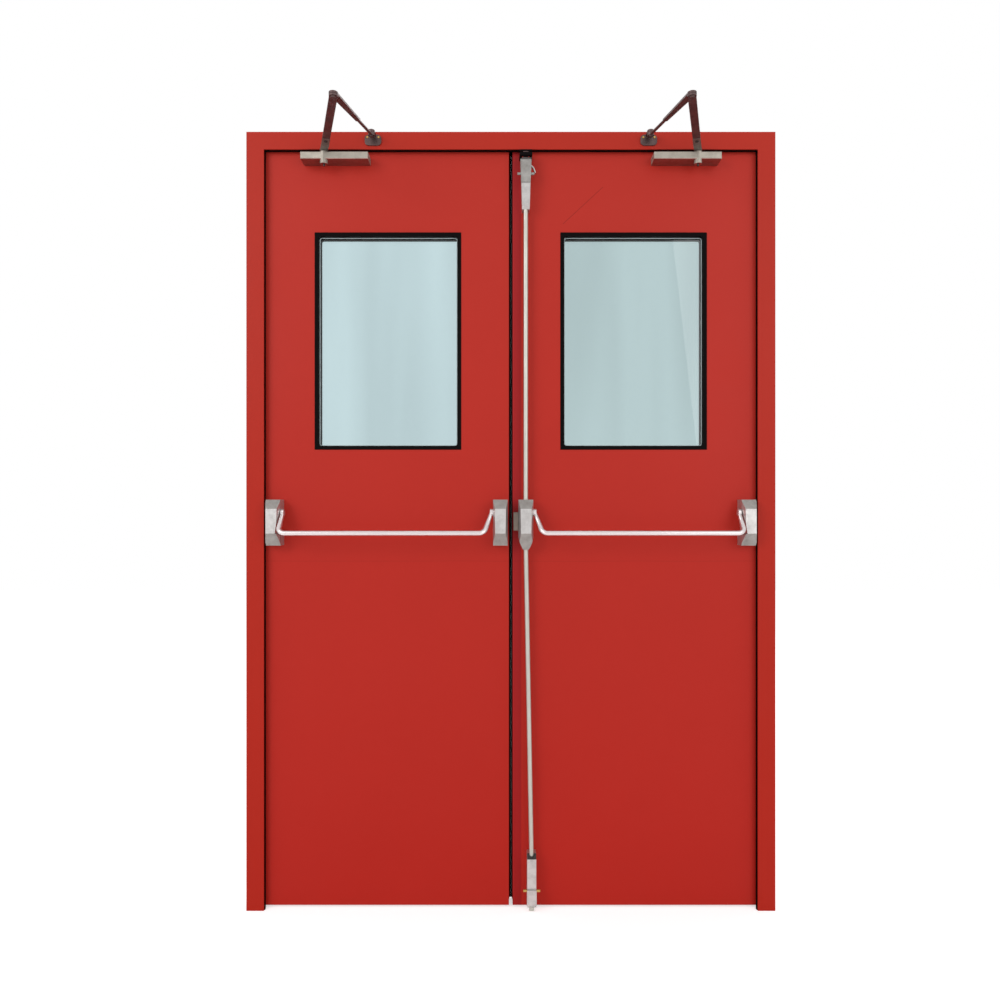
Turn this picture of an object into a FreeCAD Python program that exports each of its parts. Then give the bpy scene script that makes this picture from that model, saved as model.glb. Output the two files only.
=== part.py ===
import FreeCAD, Part
import math
import os
import Sketcher

# Double steel fire door in a rebated steel frame, with a glazed vision panel in each leaf,
# a push bar and a surface closer on each leaf, and vertical rods on the right leaf.
# X runs across the door from the left jamb's wall face, Y from front to back with zero at
# mid-depth of the frame, Z up from the floor. Both leaves swing away from the push bars.

SIZES = {
    # frame
    "frame_width": 1460.0,
    "frame_height": 2150.0,
    "frame_depth": 68.0,
    "face_width": 48.0,
    "stop_lap": 18.0,
    "stop_depth": 12.0,
    "fixing_radius": 5.5,
    "fixing_lowest": 450.0,
    "fixing_low": 850.0,
    "fixing_high": 1350.0,
    "fixing_highest": 1700.0,
    "seal_thickness": 2.0,
    "seal_width": 8.0,
    "seal_joint": 0.5,
    # leaves
    "leaf_thickness": 50.0,
    "leaf_edge_radius": 1.5,
    "side_gap": 8.0,
    "head_gap": 8.0,
    "meeting_gap": 10.0,
    "floor_gap": 6.0,
    # vision panels
    "window_width": 408.0,
    "window_height": 605.0,
    "window_inset": 133.0,
    "window_under_top": 233.0,
    "bead_width": 11.0,
    "bead_proud": 1.5,
    "glass_thickness": 25.0,
    "glass_edge_gap": 2.0,
    # hinges
    "hinge_length": 110.0,
    "hinge_radius": 6.5,
    "hinge_pin_radius": 3.5,
    "hinge_set_back": 7.5,
    "hinge_plate": 2.5,
    "hinge_plate_depth": 40.0,
    "hinge_low": 250.0,
    "hinge_middle": 1060.0,
    "hinge_under_top": 252.0,
    "hinge_cap": 4.0,
    "knuckle_gap": 0.6,
    "pin_clearance": 0.08,
    # closers
    "closer_length": 185.0,
    "closer_height": 20.0,
    "closer_depth": 44.0,
    "closer_edge": 3.0,
    "closer_inset": 117.0,
    "closer_drop": 28.0,
    "spindle_inset": 63.0,
    "spindle_stand": 34.0,
    "spindle_radius": 5.0,
    "boss_radius": 10.5,
    "boss_drop": 11.0,
    "boss_rise": 3.0,
    "hub_radius": 11.0,
    "hub_height": 7.5,
    "clamp_length": 30.0,
    "lift_gap": 0.3,
    "arm_width": 20.0,
    "arm_thickness": 5.0,
    "elbow_across": 88.0,
    "elbow_out": 269.0,
    "elbow_radius": 11.0,
    "rivet_radius": 6.0,
    "rivet_height": 2.5,
    "strap_share": 0.62,
    "strap_neck": 12.0,
    "rod_root_share": 0.7,
    "link_rod_bite": 2.0,
    "link_rod_radius": 4.0,
    "link_eye_radius": 9.0,
    "link_eye_height": 8.0,
    "shoe_from_wall": 350.0,
    "shoe_stand": 26.0,
    "shoe_pin_radius": 4.0,
    "shoe_plate_width": 46.0,
    "shoe_plate_height": 30.0,
    "shoe_plate": 4.0,
    "shoe_lug_width": 18.0,
    "shoe_lug_height": 7.0,
    # push bars
    "housing_width": 40.0,
    "housing_height": 126.0,
    "housing_depth": 56.0,
    "housing_over_pivot": 35.0,
    "housing_bevel": 6.0,
    "housing_bevel_start": 38.0,
    "housing_taper": 9.0,
    "cap_height": 25.0,
    "cap_depth": 34.0,
    "foot_height": 34.0,
    "foot_depth": 32.0,
    "hinge_housing_inset": 21.0,
    "latch_housing_inset": 4.0,
    "rod_housing_inset": 16.0,
    "rod_housing_extra": 11.0,
    "bar_pivot_height": 1100.0,
    "bar_pivot_stand": 28.0,
    "bar_height": 1045.0,
    "bar_stand": 72.0,
    "bar_radius": 7.0,
    "bar_bend": 18.0,
    "bar_arm_tip_radius": 5.0,
    "bar_latch_slant": 20.0,
    "bar_eye_radius": 10.0,
    "bar_eye_width": 8.0,
    "bar_axle_radius": 4.5,
    "bar_eye_gap": 0.5,
    # keeper on the right leaf
    "keeper_inset": 2.0,
    "keeper_height": 50.0,
    "keeper_depth": 24.0,
    "keeper_under_pivot": 50.0,
    "keeper_wall": 3.0,
    # vertical rods and their latches
    "rod_radius": 6.5,
    "rod_stand": 20.0,
    "rod_clearance": 0.3,
    "rod_entry": 20.0,
    "rod_throw": 12.0,
    "lower_rod_lean": 16.0,
    "top_latch_under_top": 36.0,
    "top_latch_height": 72.0,
    "top_latch_width": 30.0,
    "top_latch_depth": 40.0,
    "top_cover_height": 71.0,
    "top_cover_width": 25.0,
    "top_cover_end_width": 21.0,
    "top_cover_depth": 34.0,
    "bottom_latch_bottom": 15.0,
    "bottom_latch_height": 52.0,
    "bottom_latch_width": 26.0,
    "bottom_latch_depth": 40.0,
    "bottom_cover_height": 94.0,
    "bottom_cover_width": 25.0,
    "bottom_cover_depth": 34.0,
    "housing_slope": 3.0,
    "foot_step": 4.0,
    "case_slope": 3.0,
    "case_shoulder": 4.0,
    "case_shoulder_drop": 10.0,
    "case_nose": 14.0,
    "case_corner": 4.0,
    "case_corner_drop": 8.0,
    "cover_mouth": 8.0,
    "cover_mouth_rise": 10.0,
    "foot_case_bevel": 12.0,
    "foot_cover_slope": 2.0,
    "foot_cover_bevel": 12.0,
    "trip_pin_sink": 8.0,
    "trip_pin_radius": 3.5,
    "trip_pin_length": 46.0,
    "bolt_width": 14.0,
    "bolt_depth": 12.0,
    "bolt_length": 46.0,
    "top_bolt_proud": 17.0,
    "bottom_bolt_proud": 11.0,
    "strike_width": 36.0,
    "strike_drop": 4.0,
}

doc = FreeCAD.newDocument("FireDoor")
sheet = doc.addObject("Spreadsheet::Sheet", "Sizes")
for row, (alias, number) in enumerate(SIZES.items(), start=1):
    sheet.set(f"A{row}", alias)
    sheet.set(f"B{row}", str(number))
    sheet.setAlias(f"B{row}", alias)
doc.recompute()


class Measure:
    """A length that carries its number and the formula it is bound to."""

    def __init__(self, number, formula):
        self.number = number
        self.formula = formula

    @staticmethod
    def of(other):
        return other if isinstance(other, Measure) else Measure(float(other), f"{float(other)}")

    def __add__(self, other):
        other = Measure.of(other)
        return Measure(self.number + other.number, f"({self.formula} + {other.formula})")

    def __sub__(self, other):
        other = Measure.of(other)
        return Measure(self.number - other.number, f"({self.formula} - {other.formula})")

    def __mul__(self, other):
        other = Measure.of(other)
        return Measure(self.number * other.number, f"({self.formula} * {other.formula})")

    def __truediv__(self, other):
        other = Measure.of(other)
        return Measure(self.number / other.number, f"({self.formula} / {other.formula})")

    def __neg__(self):
        return Measure(-self.number, f"(0 - {self.formula})")


class Sizes:
    """Every cell of the sheet as a Measure."""


size = Sizes()
for alias, number in SIZES.items():
    setattr(size, alias, Measure(number, f"Sizes.{alias}"))
zero = Measure(0.0, "0")

pieces = []


def name_piece(label, thing):
    thing.Label = label
    pieces.append(thing)
    return thing


def bind(thing, **formulas):
    for path, measure in formulas.items():
        thing.setExpression(path.replace("__", "."), Measure.of(measure).formula)


def place(thing, corner):
    for axis, measure in zip("xyz", corner):
        thing.setExpression(f"Placement.Base.{axis}", Measure.of(measure).formula)


def box(name, low, high):
    """A block between two corners."""
    block = doc.addObject("Part::Box", name)
    spans = [Measure.of(b) - a for a, b in zip(low, high)]
    bind(block, Length=spans[0], Width=spans[1], Height=spans[2])
    place(block, low)
    return block


TURNS = {
    "x": FreeCAD.Rotation(FreeCAD.Vector(0, 1, 0), 90),
    "y": FreeCAD.Rotation(FreeCAD.Vector(1, 0, 0), -90),
    "z": FreeCAD.Rotation(),
}


def cylinder(name, radius, length, start, along="z"):
    """A round bar from its start point along one axis."""
    bar = doc.addObject("Part::Cylinder", name)
    bar.Placement = FreeCAD.Placement(FreeCAD.Vector(), TURNS[along])
    bind(bar, Radius=radius, Height=length)
    place(bar, start)
    return bar


def fuse(name, shapes):
    joined = doc.addObject("Part::MultiFuse", name)
    joined.Shapes = shapes
    joined.Refine = True
    return joined


def cut(name, base, tools):
    carved = doc.addObject("Part::Cut", name)
    carved.Base = base
    carved.Tool = tools[0] if len(tools) == 1 else fuse(f"{name}Tools", tools)
    carved.Refine = True
    return carved


def common(name, shapes):
    shared = doc.addObject("Part::MultiCommon", name)
    shared.Shapes = shapes
    shared.Refine = True
    return shared


def group(name, shapes):
    together = doc.addObject("Part::Compound", name)
    together.Links = shapes
    return together


def mirrored(label, source):
    """The same piece on the other side of the door's centre line."""
    twin = doc.addObject("Part::Mirroring", f"{source.Name}Twin")
    twin.Source = source
    twin.Normal = FreeCAD.Vector(1, 0, 0)
    twin.setExpression("Base.x", (size.frame_width / 2).formula)
    return name_piece(label, twin)


def draw_loop(sketch, points):
    """A closed loop of lines with every corner held by two bound distances."""
    first = sketch.GeometryCount
    count = len(points)
    corners = [FreeCAD.Vector(u.number, v.number, 0) for u, v in points]
    for index in range(count):
        sketch.addGeometry(Part.LineSegment(corners[index], corners[(index + 1) % count]))
    for index in range(count):
        line = first + index
        following = first + (index + 1) % count
        sketch.addConstraint(Sketcher.Constraint("Coincident", line, 2, following, 1))
    for index, (u, v) in enumerate(points):
        line = first + index
        for kind, measure in (("DistanceX", u), ("DistanceY", v)):
            held = sketch.addConstraint(Sketcher.Constraint(kind, -1, 1, line, 1, measure.number))
            sketch.setExpression(f"Constraints[{held}]", measure.formula)


def prism(name, plane, loops, low, high):
    """A body padded from drawn loops, between two stations on the plane's normal axis."""
    body = doc.addObject("PartDesign::Body", name)
    flat = next(item for item in body.Origin.OriginFeatures if item.Role == f"{plane}_Plane")
    sketch = body.newObject("Sketcher::SketchObject", f"{name}Outline")
    sketch.AttachmentSupport = [(flat, "")]
    sketch.MapMode = "FlatFace"
    low = Measure.of(low)
    high = Measure.of(high)
    station = -high if plane == "XZ" else low
    sketch.setExpression("AttachmentOffset.Base.z", station.formula)
    for loop in loops:
        draw_loop(sketch, [(Measure.of(u), Measure.of(v)) for u, v in loop])
    pad = body.newObject("PartDesign::Pad", f"{name}Pad")
    pad.Profile = sketch
    pad.setExpression("Length", (high - low).formula)
    sketch.Visibility = False
    doc.recompute()
    return body


def soften(body, radius, wanted):
    """Rounds the edges of a padded body that a test picks out."""
    tip = body.Tip
    edges = [f"Edge{n}" for n, edge in enumerate(tip.Shape.Edges, start=1) if wanted(edge)]
    rounding = body.newObject("PartDesign::Fillet", f"{body.Name}Rounding")
    rounding.Base = (tip, edges)
    rounding.setExpression("Radius", radius.formula)
    doc.recompute()
    return body


def rectangle(left, bottom, right, top):
    return [(left, bottom), (right, bottom), (right, top), (left, top)]


def vector(x, y, z):
    return FreeCAD.Vector(*[Measure.of(item).number for item in (x, y, z)])


# Levels and lines that several pieces share
front = -(size.frame_depth / 2)
back = size.frame_depth / 2
centre = size.frame_width / 2
rebate = size.face_width - size.stop_lap
leaf_front = back - size.leaf_thickness
leaf_back = back
leaf_hinge_edge = rebate + size.side_gap
leaf_meeting_edge = centre - size.meeting_gap / 2
leaf_top = size.frame_height - rebate - size.head_gap
window_sill = leaf_top - size.window_under_top - size.window_height
hinge_high = leaf_top - size.hinge_under_top
top_latch_top = leaf_top - size.top_latch_under_top
housing_top = size.bar_pivot_height + size.housing_over_pivot
keeper_bottom = size.bar_pivot_height - size.keeper_under_pivot
soffit = size.frame_height - size.face_width


def is_upright(edge):
    return abs(edge.tangentAt(edge.FirstParameter).z) > 0.99


def make_frame():
    stop_back = front + size.stop_depth
    outline = [
        (zero, front),
        (size.face_width, front),
        (size.face_width, stop_back),
        (rebate, stop_back),
        (rebate, back),
        (zero, back),
    ]
    jamb = prism("LeftJambProfile", "XY", [outline], zero, size.frame_height)
    hole_y = (stop_back + back) / 2
    levels = (size.fixing_lowest, size.fixing_low, size.fixing_high, size.fixing_highest)
    holes = [
        cylinder(f"Fixing{n}", size.fixing_radius, rebate, (zero, hole_y, level), "x")
        for n, level in enumerate(levels, start=1)
    ]
    left = name_piece("frame_left_jamb", cut("LeftJamb", jamb, holes))
    mirrored("frame_right_jamb", left)
    right_face = size.frame_width - size.face_width
    right_rebate = size.frame_width - rebate
    bottom_back = size.frame_height - rebate
    lip = box("HeadStop", (size.face_width, front, soffit), (right_face, stop_back, size.frame_height))
    rear = box("HeadBack", (rebate, stop_back, bottom_back), (right_rebate, back, size.frame_height))
    name_piece("frame_head", fuse("Head", [lip, rear]))


def make_seal():
    """Four straight black strips on the edge of the stop, parted at the corners and the strike."""
    near = front + size.stop_depth - size.seal_width
    far = front + size.stop_depth
    inner = size.face_width + size.seal_thickness
    right_face = size.frame_width - size.face_width
    right_inner = right_face - size.seal_thickness
    under = soffit - size.seal_thickness
    strike_left = strike_corner(False)[0]
    strike_right = strike_corner(True)[0]
    left = box("SealLeft", (size.face_width, near, zero), (inner, far, soffit))
    right = box("SealRight", (right_inner, near, zero), (right_face, far, soffit))
    head_left = box("SealHeadLeft", (inner + size.seal_joint, near, under), (strike_left, far, soffit))
    head_right = box(
        "SealHeadRight", (strike_right, near, under), (right_inner - size.seal_joint, far, soffit)
    )
    name_piece("door_seal", group("Seal", [left, right, head_left, head_right]))


def strike_corner(upper):
    side = size.strike_width / 2
    if upper:
        return (rod_line + side, front + size.stop_depth, soffit)
    return (rod_line - side, front, soffit - size.strike_drop)


def make_leaf():
    left = leaf_meeting_edge - size.window_inset - size.window_width
    right = leaf_meeting_edge - size.window_inset
    top = window_sill + size.window_height
    slab = rectangle(leaf_hinge_edge, size.floor_gap, leaf_meeting_edge, leaf_top)
    hole = rectangle(left, window_sill, right, top)
    leaf = prism("LeftLeaf", "XZ", [slab, hole], leaf_front, leaf_back)

    def is_outer_front(edge):
        middle = edge.CenterOfMass
        bounds = leaf.Shape.BoundBox
        at_rim = (
            abs(middle.x - bounds.XMin) < 0.01
            or abs(middle.x - bounds.XMax) < 0.01
            or abs(middle.z - bounds.ZMin) < 0.01
            or abs(middle.z - bounds.ZMax) < 0.01
        )
        flat = abs(edge.tangentAt(edge.FirstParameter).y) < 0.01
        return at_rim and flat

    soften(leaf, size.leaf_edge_radius, is_outer_front)
    name_piece("left_leaf", leaf)
    mirrored("right_leaf", leaf)

    bead = size.bead_width
    outer = rectangle(left, window_sill, right, top)
    inner = rectangle(left + bead, window_sill + bead, right - bead, top - bead)
    glass_front = (leaf_front + leaf_back) / 2 - size.glass_thickness / 2
    glass_back = glass_front + size.glass_thickness
    near = prism("BeadFront", "XZ", [outer, inner], leaf_front - size.bead_proud, glass_front)
    far = prism("BeadBack", "XZ", [outer, inner], glass_back, leaf_back + size.bead_proud)
    mirrored("right_glazing_front", name_piece("left_glazing_front", near))
    mirrored("right_glazing_back", name_piece("left_glazing_back", far))
    gap = size.glass_edge_gap
    pane = box(
        "Glass",
        (left + gap, glass_front, window_sill + gap),
        (right - gap, glass_back, top - gap),
    )
    mirrored("right_glass", name_piece("left_glass", pane))


def make_hinges():
    """Three-knuckle hinges in the gap, with their barrels behind the leaf."""
    x = rebate + size.side_gap / 2
    y = back + size.hinge_set_back
    third = size.hinge_length / 3
    plate_front = back - size.hinge_plate_depth
    bore = size.hinge_pin_radius + size.pin_clearance
    frame_halves = []
    leaf_halves = []
    for number, level in enumerate((size.hinge_low, size.hinge_middle, hinge_high), start=1):
        low = level - size.hinge_length / 2
        high = level + size.hinge_length / 2
        inner_low = low + third
        inner_high = high - third
        gap = size.knuckle_gap
        pin = cylinder(
            f"HingePin{number}",
            size.hinge_pin_radius,
            size.hinge_length + size.hinge_cap * 2,
            (x, y, low - size.hinge_cap),
        )
        lower = cylinder(f"KnuckleLow{number}", size.hinge_radius, third - gap, (x, y, low))
        upper = cylinder(f"KnuckleHigh{number}", size.hinge_radius, third - gap, (x, y, inner_high + gap))
        plate_low = box(
            f"FramePlateLow{number}",
            (rebate, plate_front, low),
            (rebate + size.hinge_plate, y, inner_low - gap),
        )
        plate_high = box(
            f"FramePlateHigh{number}",
            (rebate, plate_front, inner_high + gap),
            (rebate + size.hinge_plate, y, high),
        )
        plate_mid = box(
            f"FramePlateMid{number}",
            (rebate, plate_front, low),
            (rebate + size.hinge_plate, back, high),
        )
        shapes = [pin, lower, upper, plate_low, plate_high, plate_mid]
        frame_halves.append(fuse(f"FrameHinge{number}", shapes))
        knuckle = cylinder(f"KnuckleMid{number}", size.hinge_radius, third, (x, y, inner_low))
        leaf_plate = box(
            f"LeafPlate{number}",
            (leaf_hinge_edge - size.hinge_plate, plate_front, low),
            (leaf_hinge_edge, back, high),
        )
        tongue = box(
            f"LeafTongue{number}",
            (leaf_hinge_edge - size.hinge_plate, plate_front, inner_low),
            (leaf_hinge_edge, y, inner_high),
        )
        hole = cylinder(f"KnuckleBore{number}", bore, third, (x, y, inner_low))
        solid = fuse(f"LeafHingeSolid{number}", [knuckle, leaf_plate, tongue])
        leaf_halves.append(cut(f"LeafHinge{number}", solid, [hole]))
    fixed = name_piece("left_hinge_frame_halves", group("FrameHinges", frame_halves))
    moving = name_piece("left_hinge_leaf_halves", group("LeafHinges", leaf_halves))
    mirrored("right_hinge_frame_halves", fixed)
    mirrored("right_hinge_leaf_halves", moving)


closer_left = leaf_hinge_edge + size.closer_inset
closer_top = leaf_top - size.closer_drop
spindle_x = closer_left + size.spindle_inset
spindle_y = leaf_front - size.spindle_stand
hub_bottom = closer_top + size.boss_rise + size.lift_gap
elbow_x = spindle_x + size.elbow_across
elbow_y = spindle_y - size.elbow_out
shoe_x = size.shoe_from_wall
shoe_y = front - size.shoe_stand
shoe_top = size.frame_height - (size.face_width - size.shoe_plate_height) / 2
arm_top = hub_bottom + size.arm_thickness
link_eye_bottom = shoe_top - size.shoe_lug_height - size.link_eye_height - size.lift_gap


def make_closer():
    low = closer_top - size.closer_height
    right = closer_left + size.closer_length
    near = leaf_front - size.closer_depth
    block = prism(
        "CloserBlock",
        "XY",
        [rectangle(closer_left, near, right, leaf_front)],
        low,
        closer_top,
    )

    def is_front_edge(edge):
        return edge.BoundBox.YMax < near.number + 0.01

    soften(block, size.closer_edge, is_front_edge)
    boss_low = low - size.boss_drop
    boss_top = closer_top + size.boss_rise
    boss = cylinder("CloserBoss", size.boss_radius, boss_top - boss_low, (spindle_x, spindle_y, boss_low))
    stud = cylinder(
        "CloserStud",
        size.spindle_radius,
        hub_bottom + size.hub_height - boss_top,
        (spindle_x, spindle_y, boss_top),
    )
    body = name_piece("left_closer_body", fuse("Closer", [block, boss, stud]))
    mirrored("right_closer_body", body)


def strap(start, end, start_width, end_width, bottom, thickness):
    """A flat tapered bar between two plan points, as a solid."""
    along = (end - start).normalize()
    across = FreeCAD.Vector(-along.y, along.x, 0)
    corners = [
        start + across * (start_width / 2),
        start - across * (start_width / 2),
        end - across * (end_width / 2),
        end + across * (end_width / 2),
    ]
    ring = [FreeCAD.Vector(p.x, p.y, bottom) for p in corners]
    face = Part.Face(Part.makePolygon(ring + ring[:1]))
    return face.extrude(FreeCAD.Vector(0, 0, thickness))


def solid_feature(name, shape):
    feature = doc.addObject("Part::Feature", name)
    feature.Shape = shape.removeSplitter()
    return feature


def disc(radius, height, x, y, bottom):
    return Part.makeCylinder(radius.number, height.number, vector(x, y, bottom))


def make_main_arm():
    """The silver clamp on the spindle and the dark strap that it grips."""
    start = vector(spindle_x, spindle_y, zero)
    end = vector(elbow_x, elbow_y, zero)
    along = (end - start).normalize()
    clamp_end = start + along * size.clamp_length.number
    bottom = hub_bottom.number
    hub = disc(size.hub_radius, size.hub_height, spindle_x, spindle_y, hub_bottom)
    width = size.arm_width.number
    tongue = strap(start, clamp_end, width, width, bottom, size.hub_height.number)
    bore = disc(size.spindle_radius + size.pin_clearance, size.hub_height, spindle_x, spindle_y, hub_bottom)
    clamp = hub.fuse(tongue).cut(bore)
    clamp_piece = name_piece("left_arm_clamp", solid_feature("ArmClamp", clamp))
    mirrored("right_arm_clamp", clamp_piece)

    blade = strap(clamp_end, end, width, width, bottom, size.arm_thickness.number)
    elbow = disc(size.elbow_radius, size.arm_thickness, elbow_x, elbow_y, hub_bottom)
    rivet = disc(size.rivet_radius, size.rivet_height, elbow_x, elbow_y, hub_bottom - size.rivet_height)
    arm = name_piece("left_main_arm", solid_feature("MainArm", blade.fuse([elbow, rivet])))
    mirrored("right_main_arm", arm)


def make_forearm():
    """A strap from the elbow that carries on as a round rod up to the shoe."""
    eye_bottom = arm_top + size.lift_gap
    elbow = disc(size.elbow_radius, size.arm_thickness, elbow_x, elbow_y, eye_bottom)
    rivet = disc(size.rivet_radius, size.rivet_height, elbow_x, elbow_y, eye_bottom + size.arm_thickness)
    eye = disc(size.link_eye_radius, size.link_eye_height, shoe_x, shoe_y, link_eye_bottom)
    pin_bore = size.shoe_pin_radius + size.pin_clearance
    bore = disc(pin_bore, size.link_eye_height, shoe_x, shoe_y, link_eye_bottom)
    start = vector(elbow_x, elbow_y, eye_bottom + size.arm_thickness / 2)
    end = vector(shoe_x, shoe_y, link_eye_bottom + size.link_eye_height / 2)
    line = end - start
    along = FreeCAD.Vector(line).normalize()
    across = FreeCAD.Vector(-line.y, line.x, 0).normalize()
    up = along.cross(across)
    half = size.arm_thickness.number / 2
    neck_end = start + line * size.strap_share.number

    def section(point, width):
        ring = [
            point + across * (side * width / 2) + up * (level * half)
            for side, level in ((-1, -1), (1, -1), (1, 1), (-1, 1))
        ]
        return Part.makePolygon(ring + ring[:1])

    blade = Part.makeLoft(
        [section(start, size.arm_width.number), section(neck_end, size.strap_neck.number)], True
    )
    rod_start = start + line * (size.strap_share.number * size.rod_root_share.number)
    rod_end = (end - rod_start).Length - (size.link_eye_radius - size.link_rod_bite).number
    rod = Part.makeCylinder(size.link_rod_radius.number, rod_end, rod_start, along)
    link = elbow.fuse([rivet, eye, blade, rod]).cut(bore)
    piece = name_piece("left_forearm", solid_feature("Forearm", link))
    mirrored("right_forearm", piece)


def make_shoe():
    """The bracket on the frame head, with the pin that the forearm turns on."""
    half = size.shoe_plate_width / 2
    plate_low = shoe_top - size.shoe_plate_height
    lug_half = size.shoe_lug_width / 2
    plate = box(
        "ShoePlate",
        (shoe_x - half, front - size.shoe_plate, plate_low),
        (shoe_x + half, front, shoe_top),
    )
    lug = box(
        "ShoeLug",
        (shoe_x - lug_half, shoe_y, shoe_top - size.shoe_lug_height),
        (shoe_x + lug_half, front, shoe_top),
    )
    nose_at = (shoe_x, shoe_y, shoe_top - size.shoe_lug_height)
    nose = cylinder("ShoeNose", lug_half, size.shoe_lug_height, nose_at)
    pin_low = link_eye_bottom - size.lift_gap - size.rivet_height
    pin = cylinder("ShoePin", size.shoe_pin_radius, shoe_top - pin_low, (shoe_x, shoe_y, pin_low))
    head = cylinder("ShoePinHead", size.rivet_radius, size.rivet_height, (shoe_x, shoe_y, pin_low))
    shoe = name_piece("left_closer_shoe", fuse("Shoe", [plate, lug, nose, pin, head]))
    mirrored("right_closer_shoe", shoe)


def side_profile():
    """The faceted side view that all push bar housings share."""
    top = housing_top
    bottom = top - size.housing_height
    return [
        (leaf_front, top),
        (leaf_front - size.cap_depth, top),
        (leaf_front - size.housing_depth + size.housing_slope, top - size.cap_height),
        (leaf_front - size.housing_depth, bottom + size.foot_height),
        (leaf_front - size.foot_depth, bottom),
        (leaf_front, bottom),
    ]


def plan_profile(left, right):
    nose = leaf_front - size.housing_depth
    start = leaf_front - size.housing_bevel_start
    return [
        (left, leaf_front),
        (left, start),
        (left + size.housing_bevel, nose),
        (right - size.housing_bevel, nose),
        (right, start),
        (right, leaf_front),
    ]


hinge_housing_left = leaf_hinge_edge + size.hinge_housing_inset
hinge_housing_right = hinge_housing_left + size.housing_width
latch_housing_right = leaf_meeting_edge - size.latch_housing_inset
latch_housing_left = latch_housing_right - size.housing_width
# The right leaf's rod housing, worked out on the left leaf and then mirrored
rod_housing_right = leaf_meeting_edge - size.rod_housing_inset
rod_housing_left = rod_housing_right - size.housing_width
rod_line = size.frame_width - (rod_housing_left + rod_housing_right) / 2
rod_foot_line = rod_line + size.lower_rod_lean
rod_y = leaf_front - size.rod_stand
bar_pivot_y = leaf_front - size.bar_pivot_stand
axle_reach = size.bar_eye_gap + size.bar_eye_width


def axle(name, start, length):
    return cylinder(name, size.bar_axle_radius, length, (start, bar_pivot_y, size.bar_pivot_height), "x")


def make_housings():
    top = housing_top
    bottom = top - size.housing_height
    left = hinge_housing_left
    right = hinge_housing_right
    waist = right - size.housing_taper
    side = prism("HingeHousingSide", "YZ", [side_profile()], left, right)
    plan = prism("HingeHousingPlan", "XY", [plan_profile(left, right)], bottom, top)
    front_view = [
        (left, bottom),
        (right, bottom),
        (right, bottom + size.foot_height - size.foot_step),
        (waist, bottom + size.foot_height),
        (right, top - size.cap_height),
        (right, top),
        (left, top),
    ]
    face = prism("HingeHousingFace", "XZ", [front_view], leaf_front - size.housing_depth, leaf_front)
    block = common("HingeHousingBlock", [side, plan, face])
    stub = axle("HingeAxle", right - size.housing_taper, axle_reach + size.housing_taper)
    piece = name_piece("left_hinge_side_housing", fuse("HingeHousing", [block, stub]))
    mirrored("right_hinge_side_housing", piece)

    left = latch_housing_left
    right = latch_housing_right
    side = prism("LatchHousingSide", "YZ", [side_profile()], left, right)
    plan = prism("LatchHousingPlan", "XY", [plan_profile(left, right)], bottom, top)
    block = common("LatchHousingBlock", [side, plan])
    stub = axle("LatchAxle", left - axle_reach, axle_reach)
    name_piece("left_latch_side_housing", fuse("LatchHousing", [block, stub]))


def make_rod_housing():
    """The right leaf's latch housing, with a rounded foot and a bore for each rod."""
    top = housing_top
    bottom = top - size.housing_height - size.rod_housing_extra
    left = rod_housing_left
    right = rod_housing_right
    nose = size.housing_width / 5
    shoulder = bottom + size.foot_height
    profile = side_profile()
    profile[4] = (leaf_front - size.foot_depth, bottom)
    profile[5] = (leaf_front, bottom)
    side = prism("RodHousingSide", "YZ", [profile], left, right)
    plan = prism("RodHousingPlan", "XY", [plan_profile(left, right)], bottom, top)
    front_view = [
        (left + nose * 1.5, bottom),
        (right - nose * 1.5, bottom),
        (right - nose / 2, bottom + size.foot_height / 2),
        (right, shoulder),
        (right, top),
        (left, top),
        (left, shoulder),
        (left + nose / 2, bottom + size.foot_height / 2),
    ]
    face = prism("RodHousingFace", "XZ", [front_view], leaf_front - size.housing_depth, leaf_front)
    block = common("RodHousingBlock", [side, plan, face])
    stub = axle("RodAxle", left - axle_reach, axle_reach)
    bore = size.rod_radius + size.rod_clearance
    depth = size.rod_entry + size.rod_throw + size.rod_clearance
    middle = (left + right) / 2
    upper = cylinder("RodBoreUpper", bore, depth, (middle, rod_y, top - depth))
    lean = size.frame_width - rod_line
    lower = cylinder("RodBoreLower", bore + size.rod_clearance, depth, (lean, rod_y, bottom))
    shell = cut("RodHousingShell", fuse("RodHousingSolid", [block, stub]), [upper, lower])
    mirrored("rod_housing", shell)


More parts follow.
